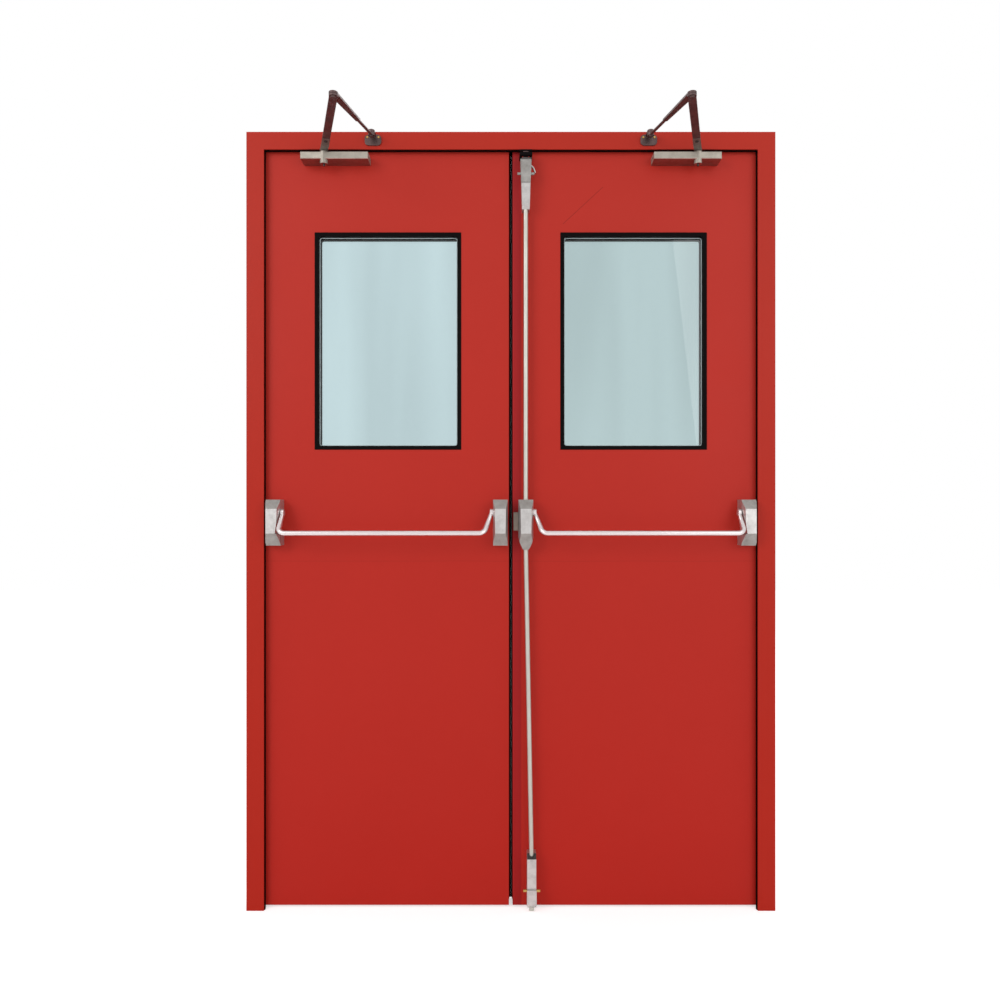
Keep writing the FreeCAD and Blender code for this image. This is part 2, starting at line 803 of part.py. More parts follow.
def push_bar(latch_eye):
    """A round bar with both ends bent up to an eye that turns on the housing's axle."""
    hinge_eye = hinge_housing_right + size.bar_eye_gap
    eye_width = size.bar_eye_width.number
    pivot = vector(zero, bar_pivot_y, size.bar_pivot_height)
    low = vector(zero, leaf_front - size.bar_stand, size.bar_height)
    down = low - pivot
    fall = down.Length
    down = down.normalize()
    radius = size.bar_radius.number
    bend = size.bar_bend.number
    x_hinge = hinge_eye.number + eye_width / 2
    x_latch_top = latch_eye.number + eye_width / 2
    x_latch_low = x_latch_top - size.bar_latch_slant.number
    across = FreeCAD.Vector(1, 0, 0)

    def at(x, drop):
        return pivot + down * drop + across * x

    hinge_top = at(x_hinge, 0)
    hinge_corner = at(x_hinge, fall)
    latch_corner = at(x_latch_low, fall)
    latch_top = at(x_latch_top, 0)

    def rounded(before, corner, after):
        towards = (before - corner).normalize()
        onwards = (after - corner).normalize()
        half = towards.getAngle(onwards) / 2
        reach = bend / math.tan(half)
        bisector = (towards + onwards).normalize()
        middle = corner + bisector * (bend / math.sin(half) - bend)
        return corner + towards * reach, middle, corner + onwards * reach

    first = rounded(hinge_top, hinge_corner, latch_corner)
    second = rounded(hinge_corner, latch_corner, latch_top)
    path = Part.Wire([
        Part.Arc(*first).toShape(),
        Part.LineSegment(first[2], second[0]).toShape(),
        Part.Arc(*second).toShape(),
    ])
    section = Part.Wire([Part.Circle(first[0], hinge_top - first[0], radius).toShape()])
    tube = path.makePipeShell([section], True, True)
    tip = size.bar_arm_tip_radius.number
    arms = []
    for low_end, top_end in ((first[0], hinge_top), (second[2], latch_top)):
        rise = top_end - low_end
        arms.append(Part.makeCone(radius, tip, rise.Length, low_end, rise))
    eyes = []
    bores = []
    for start in (hinge_eye, latch_eye):
        corner = vector(start, bar_pivot_y, size.bar_pivot_height)
        eyes.append(Part.makeCylinder(size.bar_eye_radius.number, eye_width, corner, across))
        bore = (size.bar_axle_radius + size.pin_clearance).number
        bores.append(Part.makeCylinder(bore, eye_width * 3, corner - across * eye_width, across))
    return tube.fuse(arms + eyes).cut(bores)


def make_push_bars():
    gap = size.bar_eye_gap + size.bar_eye_width
    name_piece("left_push_bar", solid_feature("LeftBar", push_bar(latch_housing_left - gap)))
    right = solid_feature("RightBarMirror", push_bar(rod_housing_left - gap))
    mirrored("right_push_bar", right)


def make_keeper():
    """The open box on the right leaf that takes the left leaf's latch."""
    left = size.frame_width - leaf_meeting_edge + size.keeper_inset
    right = size.frame_width - rod_housing_right - size.bar_eye_gap
    near = leaf_front - size.keeper_depth
    top = keeper_bottom + size.keeper_height
    block = box("KeeperBlock", (left, near, keeper_bottom), (right, leaf_front, top))
    wall = size.keeper_wall
    mouth = box(
        "KeeperMouth",
        (left, near + wall, keeper_bottom + wall * 3),
        (right - wall, leaf_front - wall, top - wall * 3),
    )
    name_piece("latch_keeper", cut("Keeper", block, [mouth]))


def make_rods():
    """Both rods, each running from the rod housing into the latch at its end."""
    top_end = top_latch_top - size.top_latch_height - size.top_cover_height + size.rod_entry
    start = housing_top - size.rod_entry
    upper = cylinder("UpperRod", size.rod_radius, top_end - start, (rod_line, rod_y, start))
    name_piece("upper_rod", upper)
    housing_bottom = housing_top - size.housing_height - size.rod_housing_extra
    high = vector(rod_line, rod_y, housing_bottom + size.rod_entry)
    cover_top = size.bottom_latch_bottom + size.bottom_latch_height + size.bottom_cover_height
    low = vector(rod_foot_line, rod_y, cover_top - size.rod_entry)
    rod = Part.makeCylinder(size.rod_radius.number, (high - low).Length, low, high - low)
    name_piece("lower_rod", solid_feature("LowerRod", rod))


def bolt_box(name, line, low, high, slack):
    """A latch bolt, or with slack the slot that it slides in."""
    half = size.bolt_width / 2 + slack
    deep = size.bolt_depth / 2 + slack
    return box(name, (line - half, rod_y - deep, low), (line + half, rod_y + deep, high))


def make_top_latch():
    case_top = top_latch_top
    case_low = case_top - size.top_latch_height
    cover_low = case_low - size.top_cover_height
    half = size.top_latch_width / 2
    depth = size.top_latch_depth
    side = prism(
        "TopCaseSide",
        "YZ",
        [[
            (leaf_front, case_low),
            (leaf_front - depth + size.case_slope, case_low),
            (leaf_front - depth, case_low + size.top_latch_height / 3),
            (leaf_front - depth + size.case_shoulder, case_top - size.case_shoulder_drop),
            (leaf_front - depth + size.case_nose, case_top),
            (leaf_front, case_top),
        ]],
        rod_line - half,
        rod_line + half,
    )
    cover_half = size.top_cover_width / 2
    face = prism(
        "TopCaseFace",
        "XZ",
        [[
            (rod_line - cover_half, case_low),
            (rod_line + cover_half, case_low),
            (rod_line + half, case_top - size.top_latch_height / 3),
            (rod_line + half, case_top),
            (rod_line - half + size.case_corner, case_top),
            (rod_line - half, case_top - size.case_corner_drop),
        ]],
        leaf_front - depth,
        leaf_front,
    )
    pin = cylinder(
        "TopTripPin",
        size.trip_pin_radius,
        size.trip_pin_length,
        (
            rod_line - size.trip_pin_length / 2,
            leaf_front - depth + size.trip_pin_sink,
            case_low + size.top_latch_height / 3,
        ),
        "x",
    )
    bolt_top = case_top + size.top_bolt_proud
    bolt_low = bolt_top - size.bolt_length
    slot_low = bolt_low - size.rod_throw - size.rod_clearance
    slot = bolt_box("TopSlot", rod_line, slot_low, case_top, size.rod_clearance)
    case = cut("TopCase", fuse("TopCaseSolid", [common("TopCaseBlock", [side, face]), pin]), [slot])
    name_piece("top_latch_case", case)
    name_piece("top_bolt", bolt_box("TopBolt", rod_line, bolt_low, bolt_top, 0))

    end_half = size.top_cover_end_width / 2
    cover_depth = size.top_cover_depth
    side = prism(
        "TopCoverSide",
        "YZ",
        [[
            (leaf_front, cover_low),
            (leaf_front - cover_depth + size.cover_mouth, cover_low),
            (leaf_front - cover_depth, cover_low + size.cover_mouth_rise),
            (leaf_front - cover_depth, case_low),
            (leaf_front, case_low),
        ]],
        rod_line - cover_half,
        rod_line + cover_half,
    )
    face = prism(
        "TopCoverFace",
        "XZ",
        [[
            (rod_line - end_half, cover_low),
            (rod_line + end_half, cover_low),
            (rod_line + cover_half, case_low),
            (rod_line - cover_half, case_low),
        ]],
        leaf_front - cover_depth,
        leaf_front,
    )
    bore = cylinder(
        "TopCoverBore",
        size.rod_radius + size.rod_clearance,
        size.rod_entry + size.rod_clearance,
        (rod_line, rod_y, cover_low),
    )
    name_piece("top_latch_cover", cut("TopCover", common("TopCoverBlock", [side, face]), [bore]))


def make_bottom_latch():
    case_low = size.bottom_latch_bottom
    case_top = case_low + size.bottom_latch_height
    cover_top = case_top + size.bottom_cover_height
    half = size.bottom_latch_width / 2
    depth = size.bottom_latch_depth
    side = prism(
        "BottomCaseSide",
        "YZ",
        [[
            (leaf_front, case_low),
            (leaf_front - depth + size.foot_case_bevel, case_low),
            (leaf_front - depth, case_low + size.foot_case_bevel),
            (leaf_front - depth, case_top),
            (leaf_front, case_top),
        ]],
        rod_foot_line - half,
        rod_foot_line + half,
    )
    pin = cylinder(
        "BottomTripPin",
        size.trip_pin_radius,
        size.trip_pin_length,
        (
            rod_foot_line - size.trip_pin_length / 2,
            leaf_front - depth + size.trip_pin_sink,
            case_top - size.trip_pin_radius,
        ),
        "x",
    )
    bolt_low = case_low - size.bottom_bolt_proud
    bolt_top = bolt_low + size.bolt_length
    slot_top = bolt_top + size.rod_throw + size.rod_clearance
    slot = bolt_box("BottomSlot", rod_foot_line, case_low, slot_top, size.rod_clearance)
    name_piece("bottom_latch_case", cut("BottomCase", fuse("BottomCaseSolid", [side, pin]), [slot]))
    name_piece("bottom_bolt", bolt_box("BottomBolt", rod_foot_line, bolt_low, bolt_top, 0))

    cover_half = size.bottom_cover_width / 2
    cover_depth = size.bottom_cover_depth
    cover = prism(
        "BottomCoverBlock",
        "YZ",
        [[
            (leaf_front, case_top),
            (leaf_front - cover_depth, case_top),
            (leaf_front - cover_depth + size.foot_cover_slope, cover_top - size.foot_cover_bevel),
            (leaf_front - cover_depth + size.foot_cover_bevel, cover_top),
            (leaf_front, cover_top),
        ]],
        rod_foot_line - cover_half,
        rod_foot_line + cover_half,
    )
    depth_in = size.rod_entry + size.rod_clearance
    bore = cylinder(
        "BottomCoverBore",
        size.rod_radius + size.rod_clearance * 2,
        depth_in,
        (rod_foot_line, rod_y, cover_top - depth_in),
    )
    name_piece("bottom_latch_cover", cut("BottomCover", cover, [bore]))


def make_strike():
    name_piece("top_strike", box("TopStrike", strike_corner(False), strike_corner(True)))


make_frame()
make_seal()
make_leaf()
make_hinges()
make_closer()
make_main_arm()
make_forearm()
make_shoe()
make_housings()
make_rod_housing()
make_push_bars()
make_keeper()
make_rods()
make_top_latch()
make_bottom_latch()
make_strike()
doc.recompute()

for thing in doc.Objects:
    if "Invalid" in thing.State or "Error" in thing.State:
        raise RuntimeError(f"{thing.Name} failed: {thing.State}")
for piece in pieces:
    if piece.Shape.isNull() or not piece.Shape.isValid() or not piece.Shape.Solids:
        raise RuntimeError(f"{piece.Label} has no valid solid")

os.makedirs("parts", exist_ok=True)
for piece in pieces:
    piece.Shape.exportStep(f"parts/{piece.Label}.step")
    print(piece.Label, len(piece.Shape.Solids), round(piece.Shape.Volume / 1000.0, 1))
print(len(pieces), "pieces")
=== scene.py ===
import bmesh
import bpy
import math
from mathutils import Matrix, Vector


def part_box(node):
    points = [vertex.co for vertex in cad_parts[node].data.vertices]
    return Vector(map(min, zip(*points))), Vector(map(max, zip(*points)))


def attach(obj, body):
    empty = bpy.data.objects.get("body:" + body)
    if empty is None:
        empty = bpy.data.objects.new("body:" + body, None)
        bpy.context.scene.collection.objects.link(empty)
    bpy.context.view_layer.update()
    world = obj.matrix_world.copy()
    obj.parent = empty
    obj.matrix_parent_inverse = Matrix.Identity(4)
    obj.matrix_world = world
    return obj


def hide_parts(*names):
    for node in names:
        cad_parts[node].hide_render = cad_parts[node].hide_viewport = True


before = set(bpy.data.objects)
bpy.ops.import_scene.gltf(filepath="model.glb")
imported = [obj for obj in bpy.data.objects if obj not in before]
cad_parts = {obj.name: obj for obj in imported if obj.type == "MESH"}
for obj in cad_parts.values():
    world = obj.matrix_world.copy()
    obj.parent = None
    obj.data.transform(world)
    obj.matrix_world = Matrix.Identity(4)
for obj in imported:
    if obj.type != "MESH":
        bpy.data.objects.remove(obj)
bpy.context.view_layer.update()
scene = bpy.context.scene
scene.view_settings.view_transform = "Standard"
sides = ("left", "right")
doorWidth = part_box("frame_right_jamb")[1].x
print("frame loaded", len(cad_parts), "nodes")


def linear(red, green, blue):
    # a colour given as on screen, 0 to 255
    def channel(value):
        value /= 255
        return value / 12.92 if value <= 0.04045 else ((value + 0.055) / 1.055) ** 2.4
    return (channel(red), channel(green), channel(blue), 1.0)


def grey(level):
    return (level, level, level, 1.0)


# camera: a little left of the middle and at handle height
view = {
    "place": (0.700, -2.024, 1.134),
    "lens": 25.96,
    "sensor": 36.0,
}
camera = bpy.data.objects.new("camera", bpy.data.cameras.new("camera"))
scene.collection.objects.link(camera)
camera.location = view["place"]
camera.rotation_euler = (math.radians(90), 0, 0)
camera.data.lens = view["lens"]
camera.data.sensor_width = view["sensor"]
scene.camera = camera
print("camera placed")


# node helpers
def addNode(tree, kind, **settings):
    node = tree.nodes.new(kind)
    for name, value in settings.items():
        setattr(node, name, value)
    return node


def newGroup(name, inputs, outputs):
    tree = bpy.data.node_groups.new(name, "ShaderNodeTree")
    for label, kind, value in inputs:
        socket = tree.interface.new_socket(label, in_out="INPUT", socket_type=kind)
        socket.default_value = value
    for label, kind in outputs:
        tree.interface.new_socket(label, in_out="OUTPUT", socket_type=kind)
    entry = addNode(tree, "NodeGroupInput")
    leave = addNode(tree, "NodeGroupOutput")
    return tree, entry.outputs, leave.inputs


def noise(tree, vector, scale, detail=3.0, roughness=0.55):
    node = addNode(tree, "ShaderNodeTexNoise")
    tree.links.new(vector, node.inputs["Vector"])
    if isinstance(scale, float):
        node.inputs["Scale"].default_value = scale
    else:
        tree.links.new(scale, node.inputs["Scale"])
    node.inputs["Detail"].default_value = detail
    node.inputs["Roughness"].default_value = roughness
    return node.outputs["Fac"]


def ramp(tree, value, low, high, start, end):
    node = addNode(tree, "ShaderNodeMapRange")
    for label, item in (("Value", value), ("From Min", low), ("From Max", high),
                        ("To Min", start), ("To Max", end)):
        if isinstance(item, (int, float)):
            node.inputs[label].default_value = item
        else:
            tree.links.new(item, node.inputs[label])
    return node.outputs["Result"]


def maths(tree, operation, *values, clamp=False):
    node = addNode(tree, "ShaderNodeMath", operation=operation, use_clamp=clamp)
    for socket, value in zip(node.inputs, values):
        if isinstance(value, (int, float)):
            socket.default_value = value
        else:
            tree.links.new(value, socket)
    return node.outputs[0]


def mixColor(tree, factor, first, second, blend="MIX"):
    node = addNode(tree, "ShaderNodeMix", data_type="RGBA", blend_type=blend)
    for socket, value in ((node.inputs[0], factor), (node.inputs[6], first), (node.inputs[7], second)):
        if isinstance(value, (int, float, tuple)):
            socket.default_value = value
        else:
            tree.links.new(value, socket)
    return node.outputs[2]


def objectPlace(tree):
    return addNode(tree, "ShaderNodeTexCoord").outputs["Object"]


def seenDirectly(tree):
    # 1 for rays from the camera, off a gloss or through glass
    rays = addNode(tree, "ShaderNodeLightPath")
    seen = maths(tree, "MAXIMUM", rays.outputs["Is Camera Ray"], rays.outputs["Is Glossy Ray"])
    return maths(tree, "MAXIMUM", seen, rays.outputs["Is Transmission Ray"])


# powder coat: two colours down the height, the lower one a painted shade, a faint orange peel and slow
# patches
filmNoise = {
    "patches": (1.8, 4.0, 0.6),
    "smears": (5.0, 5.0, 0.65),
    "smearSpan": (0.3, 0.7),
    "smearRoughness": (-0.05, 0.07),
    "peel": (1.0, 0.4),
}


def makePaintFilm():
    tree, given, out = newGroup("paintFilm", [
        ("Top Color", "NodeSocketColor", (0.5, 0.04, 0.03, 1)),
        ("Shaded Foot Color", "NodeSocketColor", (0.4, 0.03, 0.02, 1)),
        ("Foot Height", "NodeSocketFloat", 0.0),
        ("Top Height", "NodeSocketFloat", 2.1),
        ("Patch Strength", "NodeSocketFloat", 0.06),
        ("Peel Scale", "NodeSocketFloat", 700.0),
        ("Base Roughness", "NodeSocketFloat", 0.38),
    ], [("Color", "NodeSocketColor"), ("Roughness", "NodeSocketFloat"), ("Height", "NodeSocketFloat")])
    place = objectPlace(tree)
    parts = addNode(tree, "ShaderNodeSeparateXYZ")
    tree.links.new(place, parts.inputs[0])
    # painted shade: the colour darkens from the top colour to the shaded foot colour
    rise = ramp(tree, parts.outputs["Z"], given["Foot Height"], given["Top Height"], 0.0, 1.0)
    shade = mixColor(tree, rise, given["Shaded Foot Color"], given["Top Color"])
    patches = noise(tree, place, *filmNoise["patches"])
    weight = maths(tree, "MULTIPLY", maths(tree, "SUBTRACT", patches, 0.5), given["Patch Strength"])
    level = maths(tree, "ADD", 1.0, weight)
    tone = addNode(tree, "ShaderNodeCombineColor")
    for socket in tone.inputs:
        tree.links.new(level, socket)
    tree.links.new(mixColor(tree, 1.0, shade, tone.outputs[0], "MULTIPLY"), out["Color"])
    smears = noise(tree, place, *filmNoise["smears"])
    smearing = ramp(tree, smears, *filmNoise["smearSpan"], *filmNoise["smearRoughness"])
    tree.links.new(maths(tree, "ADD", given["Base Roughness"], smearing), out["Roughness"])
    tree.links.new(noise(tree, place, given["Peel Scale"], *filmNoise["peel"]), out["Height"])
    return tree


# sand cast or blasted metal: fine grains and handling marks
grainNoise = {
    "grains": (2.0, 0.6),
    "marks": (34.0, 5.0, 0.7),
    "markSpan": (0.42, 0.68),
    "markShare": 0.7,
    "grainShare": 0.3,
    "markRoughness": 0.12,
}


def makeCastGrain():
    tree, given, out = newGroup("castGrain", [
        ("Color", "NodeSocketColor", (0.5, 0.5, 0.5, 1)),
        ("Dull Color", "NodeSocketColor", (0.4, 0.4, 0.4, 1)),
        ("Grain Scale", "NodeSocketFloat", 1800.0),
        ("Base Roughness", "NodeSocketFloat", 0.42),
    ], [("Color", "NodeSocketColor"), ("Roughness", "NodeSocketFloat"), ("Height", "NodeSocketFloat")])
    place = objectPlace(tree)
    grains = noise(tree, place, given["Grain Scale"], *grainNoise["grains"])
    marks = noise(tree, place, *grainNoise["marks"])
    dull = ramp(tree, marks, *grainNoise["markSpan"], 0.0, 1.0)
    flecked = maths(tree, "ADD", maths(tree, "MULTIPLY", dull, grainNoise["markShare"]),
                    maths(tree, "MULTIPLY", grains, grainNoise["grainShare"]))
    tree.links.new(mixColor(tree, flecked, given["Color"], given["Dull Color"]), out["Color"])
    worn = maths(tree, "MULTIPLY", dull, grainNoise["markRoughness"])
    tree.links.new(maths(tree, "ADD", given["Base Roughness"], worn), out["Roughness"])
    tree.links.new(grains, out["Height"])
    return tree


# drawn or brushed metal: fine lines along one direction
lineNoise = {
    "lines": (1.0, 3.0, 0.6),
    "marks": (22.0, 4.0, 0.65),
    "lineSpan": (0.35, 0.75),
    "markSpan": (0.3, 0.7),
    "markLeast": 0.4,
    "lineRoughness": 0.12,
}


def makeBrushedLines():
    tree, given, out = newGroup("brushedLines", [
        ("Color", "NodeSocketColor", (0.6, 0.6, 0.6, 1)),
        ("Line Color", "NodeSocketColor", (0.45, 0.45, 0.45, 1)),
        ("Stretch", "NodeSocketVector", (900.0, 900.0, 12.0)),
        ("Base Roughness", "NodeSocketFloat", 0.3),
    ], [("Color", "NodeSocketColor"), ("Roughness", "NodeSocketFloat"), ("Height", "NodeSocketFloat")])
    place = objectPlace(tree)
    scaled = addNode(tree, "ShaderNodeVectorMath", operation="MULTIPLY")
    tree.links.new(place, scaled.inputs[0])
    tree.links.new(given["Stretch"], scaled.inputs[1])
    lines = noise(tree, scaled.outputs[0], *lineNoise["lines"])
    marks = noise(tree, place, *lineNoise["marks"])
    blend = maths(tree, "MULTIPLY", ramp(tree, lines, *lineNoise["lineSpan"], 0.0, 1.0),
                  ramp(tree, marks, *lineNoise["markSpan"], lineNoise["markLeast"], 1.0))
    tree.links.new(mixColor(tree, blend, given["Color"], given["Line Color"]), out["Color"])
    scored = maths(tree, "MULTIPLY", blend, lineNoise["lineRoughness"])
    tree.links.new(maths(tree, "ADD", given["Base Roughness"], scored), out["Roughness"])
    tree.links.new(lines, out["Height"])
    return tree


paintFilm = makePaintFilm()
castGrain = makeCastGrain()
brushedLines = makeBrushedLines()


def newMaterial(name, **sockets):
    material = bpy.data.materials.new(name)
    material.use_nodes = True
    tree = material.node_tree
    shader = tree.nodes["Principled BSDF"]
    for label, value in sockets.items():
        shader.inputs[label.replace("_", " ")].default_value = value
    return material, tree, shader


def placeGroup(tree, group, values):
    node = addNode(tree, "ShaderNodeGroup", node_tree=group)
    for label, value in values.items():
        node.inputs[label].default_value = value
    return node


def joinFinish(tree, shader, effect, bump, distance):
    tree.links.new(effect.outputs["Color"], shader.inputs["Base Color"])
    tree.links.new(effect.outputs["Roughness"], shader.inputs["Roughness"])
    height = addNode(tree, "ShaderNodeBump")
    height.inputs["Strength"].default_value = bump
    height.inputs["Distance"].default_value = distance
    tree.links.new(effect.outputs["Height"], height.inputs["Height"])
    tree.links.new(height.outputs[0], shader.inputs["Normal"])


# red powder coat of the frame and leaves, painted darker towards the foot as shade
redPaint = {
    "leafTop": linear(187, 50, 40),
    "leafShadedFoot": linear(187, 38, 28),
    "frameTop": linear(181, 47, 34),
    "frameShadedFoot": linear(182, 37, 22),
    "footHeight": 0.15,
    "topHeight": 1.95,
    "patches": 0.10,
    "peel": 620.0,
    "roughness": 0.42,
    "specular": 0.14,
    "bump": 0.10,
    "bumpDepth": 0.0004,
}


def makeRed(name, top, foot):
    material, tree, shader = newMaterial(name, Specular_IOR_Level=redPaint["specular"])
    effect = placeGroup(tree, paintFilm, {
        "Top Color": top,
        "Shaded Foot Color": foot,
        "Foot Height": redPaint["footHeight"],
        "Top Height": redPaint["topHeight"],
        "Patch Strength": redPaint["patches"],
        "Peel Scale": redPaint["peel"],
        "Base Roughness": redPaint["roughness"],
    })
    joinFinish(tree, shader, effect, redPaint["bump"], redPaint["bumpDepth"])
    return material, tree, shader, effect


framePaint = makeRed("framePaint", redPaint["frameTop"], redPaint["frameShadedFoot"])[0]

# marks on the leaves: a soft painted shadow of the bars across both, below them, a long scratch on the right
# one, and a painted shade along the right one's meeting edge
leafMarks = {
    "barShadowHeight": 0.967,
    "barShadowWidth": 0.0022,
    "barShadowShade": 0.90,
    "driftNoise": (3.0, 2.0),
    "drift": 0.006,
    "scratchStart": (0.8754, 1.9026),
    "scratchEnd": (0.9869, 2.0057),
    "scratchWidth": 0.0009,
    "scratchShade": linear(112, 26, 24),
    "meetingShadeEdge": 0.7575,
    "meetingShadeBlur": 0.0035,
    "meetingShadeTint": (0.76, 0.56, 0.92, 1.0),
}


def makeLeafPaint(name, withScratchAndShade):
    material, tree, shader, effect = makeRed(name, redPaint["leafTop"], redPaint["leafShadedFoot"])
    parts = addNode(tree, "ShaderNodeSeparateXYZ")
    tree.links.new(objectPlace(tree), parts.inputs[0])
    sway = noise(tree, objectPlace(tree), *leafMarks["driftNoise"])
    drift = maths(tree, "MULTIPLY", sway, leafMarks["drift"])
    level = maths(tree, "SUBTRACT", maths(tree, "ADD", parts.outputs["Z"], drift), leafMarks["barShadowHeight"])
    onFront = maths(tree, "LESS_THAN", parts.outputs["Y"], 0.0)
    # painted shadow of the bars: a thin darker line across the front, a little below them
    barShadow = maths(tree, "MULTIPLY", onFront,
                   ramp(tree, maths(tree, "ABSOLUTE", level), 0.0, leafMarks["barShadowWidth"], 1.0, 0.0))
    shade = grey(leafMarks["barShadowShade"])
    color = mixColor(tree, barShadow, effect.outputs["Color"],
                     mixColor(tree, 1.0, effect.outputs["Color"], shade, "MULTIPLY"))
    if withScratchAndShade:
        start = Vector(leafMarks["scratchStart"])
        line = Vector(leafMarks["scratchEnd"]) - start
        along = line.normalized()
        fromX = maths(tree, "SUBTRACT", parts.outputs["X"], start.x)
        fromZ = maths(tree, "SUBTRACT", parts.outputs["Z"], start.y)
        run = maths(tree, "ADD", maths(tree, "MULTIPLY", fromX, along.x),
                    maths(tree, "MULTIPLY", fromZ, along.y))
        off = maths(tree, "SUBTRACT", maths(tree, "MULTIPLY", fromZ, along.x),
                    maths(tree, "MULTIPLY", fromX, along.y))
        thin = ramp(tree, maths(tree, "ABSOLUTE", off), 0.0, leafMarks["scratchWidth"], 1.0, 0.0)
        inside = maths(tree, "MULTIPLY", maths(tree, "GREATER_THAN", run, 0.0),
                       maths(tree, "LESS_THAN", run, line.length))
        scratch = maths(tree, "MULTIPLY", maths(tree, "MULTIPLY", thin, inside), onFront)
        color = mixColor(tree, scratch, color, leafMarks["scratchShade"])
        # painted shade: a darker band on the front of the right leaf along its meeting edge
        meetingShadeEnd = leafMarks["meetingShadeEdge"] + leafMarks["meetingShadeBlur"]
        strip = maths(tree, "MULTIPLY", onFront,
                      ramp(tree, parts.outputs["X"], leafMarks["meetingShadeEdge"], meetingShadeEnd, 1.0, 0.0))
        darker = mixColor(tree, 1.0, color, leafMarks["meetingShadeTint"], "MULTIPLY")
        color = mixColor(tree, strip, color, darker)
    tree.links.new(color, shader.inputs["Base Color"])
    return material


leafPaint = {"left": makeLeafPaint("leafPaintLeft", False), "right": makeLeafPaint("leafPaintRight", True)}


# cast and plated hardware
metalBumpDepth = 0.0002


def makeMetal(name, group, values, metallic, bump, specular=0.5):
    material, tree, shader = newMaterial(name, Metallic=metallic, Specular_IOR_Level=specular)
    joinFinish(tree, shader, placeGroup(tree, group, values), bump, metalBumpDepth)
    return material


latchSilver = makeMetal("latchSilver", castGrain, {
    "Color": linear(205, 202, 200), "Dull Color": linear(168, 164, 162),
    "Grain Scale": 1500.0, "Base Roughness": 0.36}, 0.75, 0.22)
closerSilver = makeMetal("closerSilver", castGrain, {
    "Color": linear(178, 171, 160), "Dull Color": linear(158, 150, 139),
    "Grain Scale": 2200.0, "Base Roughness": 0.46}, 0.55, 0.14, specular=0.3)
# a darker silver: the top latch case's own grey, and painted shade on the sloped faces of the housings
caseGreyAndSlopeShade = makeMetal("caseGreyAndSlopeShade", castGrain, {
    "Color": linear(168, 166, 162), "Dull Color": linear(136, 132, 128),
    "Grain Scale": 1500.0, "Base Roughness": 0.48}, 0.6, 0.25, specular=0.3)
# painted shade with a painted red reflection of the door, for the undersides of the closers
shadedSilver = makeMetal("shadedSilver", castGrain, {
    "Color": linear(168, 132, 124), "Dull Color": linear(142, 108, 100),
    "Grain Scale": 1500.0, "Base Roughness": 0.30}, 0.9, 0.12)
keeperGrey = makeMetal("keeperGrey", castGrain, {
    "Color": linear(142, 130, 120), "Dull Color": linear(116, 104, 96),
    "Grain Scale": 1500.0, "Base Roughness": 0.5}, 0.5, 0.2, specular=0.3)
clampGrey = makeMetal("clampGrey", castGrain, {
    "Color": linear(132, 124, 118), "Dull Color": linear(98, 90, 86),
    "Grain Scale": 1700.0, "Base Roughness": 0.4}, 0.7, 0.2)
armBronze = makeMetal("armBronze", castGrain, {
    "Color": linear(104, 84, 82), "Dull Color": linear(76, 58, 58),
    "Grain Scale": 1300.0, "Base Roughness": 0.36}, 0.65, 0.20)
barSteel = makeMetal("barSteel", brushedLines, {
    "Color": linear(226, 217, 217), "Line Color": linear(196, 187, 186),
    "Stretch": (12.0, 900.0, 900.0), "Base Roughness": 0.24}, 0.85, 0.10)
rodSteel = makeMetal("rodSteel", brushedLines, {
    "Color": linear(196, 195, 186), "Line Color": linear(164, 161, 152),
    "Stretch": (900.0, 900.0, 12.0), "Base Roughness": 0.36}, 0.75, 0.10)
hingeSteel = makeMetal("hingeSteel", brushedLines, {
    "Color": linear(190, 188, 188), "Line Color": linear(150, 148, 148),
    "Stretch": (700.0, 700.0, 30.0), "Base Roughness": 0.32}, 0.9, 0.12)
brassScrew = makeMetal("brassScrew", castGrain, {
    "Color": linear(205, 168, 96), "Dull Color": linear(160, 122, 66),
    "Grain Scale": 2500.0, "Base Roughness": 0.3}, 0.9, 0.12)
# dark steel for the small screws and bolts, also used as painted shade on the slanted top of the bottom latch
# cover
darkSteelAndHollowShade = makeMetal("darkSteelAndHollowShade", castGrain, {
    "Color": linear(62, 58, 58), "Dull Color": linear(36, 33, 33),
    "Grain Scale": 2000.0, "Base Roughness": 0.42}, 0.6, 0.2)
beadBlack = makeMetal("beadBlack", castGrain, {
    "Color": linear(6, 4, 4), "Dull Color": linear(14, 9, 10),
    "Grain Scale": 900.0, "Base Roughness": 0.62}, 0.0, 0.2, specular=0.06)
paleEdge = makeMetal("paleEdge", castGrain, {
    "Color": linear(206, 220, 222), "Dull Color": linear(188, 204, 206),
    "Grain Scale": 700.0, "Base Roughness": 0.4}, 0.0, 0.1, specular=0.3)
sealRubber = makeMetal("sealRubber", castGrain, {
    "Color": linear(7, 4, 4), "Dull Color": linear(16, 10, 10),
    "Grain Scale": 600.0, "Base Roughness": 0.8}, 0.0, 0.2, specular=0.03)

# fire glass: a cool grey-green body, the right pane painted darker than the left as shade, and slow darker
# bands painted in for the room seen through the glass
glassLook = {
    "left": linear(194, 217, 221),
    "right": linear(180, 202, 204),
    "roughness": 0.006,
    "index": 1.5,
    "bandStretch": (5.0, 1.0, 0.5),
    "bandNoise": (1.0, 2.0, 0.5),
    "bandSpan": (0.4, 0.62),
    "bandShade": 0.86,
    "hazeNoise": (40.0, 4.0, 0.6),
    "hazeSpan": (0.3, 0.7),
    "hazeRise": 2.5,
}


